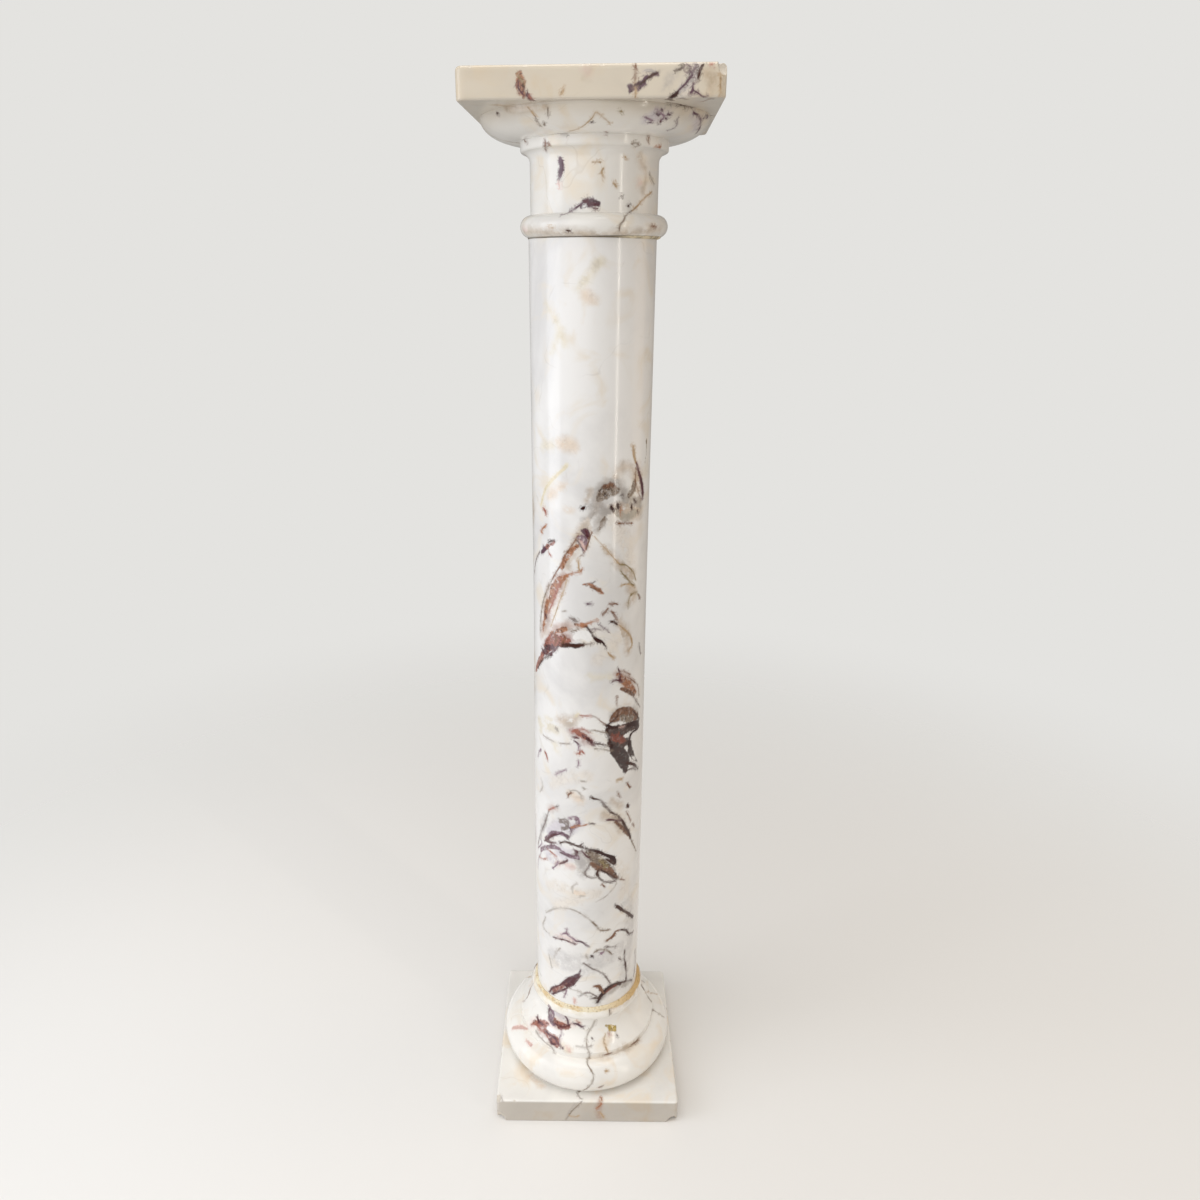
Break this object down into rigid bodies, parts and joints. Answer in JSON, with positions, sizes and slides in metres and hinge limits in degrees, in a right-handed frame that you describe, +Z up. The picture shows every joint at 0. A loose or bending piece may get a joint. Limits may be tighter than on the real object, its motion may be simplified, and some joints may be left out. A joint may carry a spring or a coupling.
{
  "type": "marble column",
  "caption": "Marble pedestal column: square plinth with turned base mouldings, slim round shaft, and turned capital under a square top slab.",
  "frame": {"origin": "centre of the plinth's underside", "axes": "+Z up along the column, front of the plinth towards -Y"},
  "size_m": [0.2084, 0.2084, 1.0283],
  "materials": {
    "white_marble": "polished white marble with rust and violet-grey veins, edges worn",
    "grey_marble": "polished grey-white marble, strongly veined and stained towards the foot",
    "setting_putty": "old, crumbly, yellow-brown setting putty, matt",
    "dark_iron": "dark iron rod, lightly rusted"
  },
  "bodies": {
    "root": {"base": "white_marble", "shaft": "grey_marble", "capital": "white_marble", "lower_putty": "setting_putty", "upper_putty": "setting_putty", "lower_dowel": "dark_iron", "upper_dowel": "dark_iron"}
  },
  "joints": []
}
